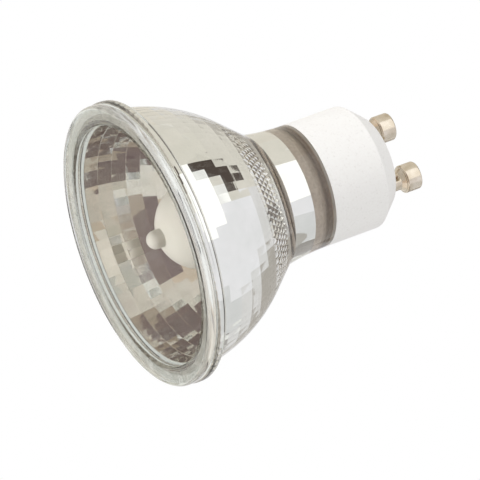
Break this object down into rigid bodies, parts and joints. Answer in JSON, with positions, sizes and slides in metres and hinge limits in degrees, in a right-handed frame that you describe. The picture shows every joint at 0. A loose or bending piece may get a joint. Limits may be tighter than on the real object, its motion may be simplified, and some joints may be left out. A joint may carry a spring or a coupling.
{
  "type": "spotlight bulb",
  "caption": "Halogen reflector spotlight bulb with faceted glass bowl, clear cover glass, frosted capsule and ceramic base with twist-lock contact pins.",
  "frame": {"origin": "centre of the cover glass's front face, at the bottom of the bounding box", "axes": "+Z from the cover glass to the contact pins along the lamp's axis; the two pins are set apart along X"},
  "size_m": [0.0507, 0.0506, 0.054],
  "materials": {
    "cover_glass": "clear, polished",
    "reflector_glass": "pressed glass with a thin mirror coating inside the bowl",
    "capsule_quartz": "frosted quartz",
    "bead_quartz": "clear quartz",
    "ceramic": "satin white, pressed and fired",
    "cement": "matte, dried cement",
    "pin_metal": "nickel plated, turned",
    "wire_metal": "drawn wire and rolled foil"
  },
  "bodies": {
    "root": {"cover_glass": "cover_glass", "cover_seal": "cement", "reflector": "reflector_glass", "capsule_envelope": "capsule_quartz", "filament": "wire_metal", "support_right": "wire_metal", "support_left": "wire_metal", "bridge_bead": "bead_quartz", "inner_lead_right": "wire_metal", "inner_lead_left": "wire_metal", "foil_right": "wire_metal", "foil_left": "wire_metal", "outer_lead_right": "wire_metal", "outer_lead_left": "wire_metal", "fuse_wire": "wire_metal", "capsule_cement": "cement", "neck_cement": "cement", "ceramic_base": "ceramic", "pin_right": "pin_metal", "pin_left": "pin_metal"}
  },
  "joints": []
}
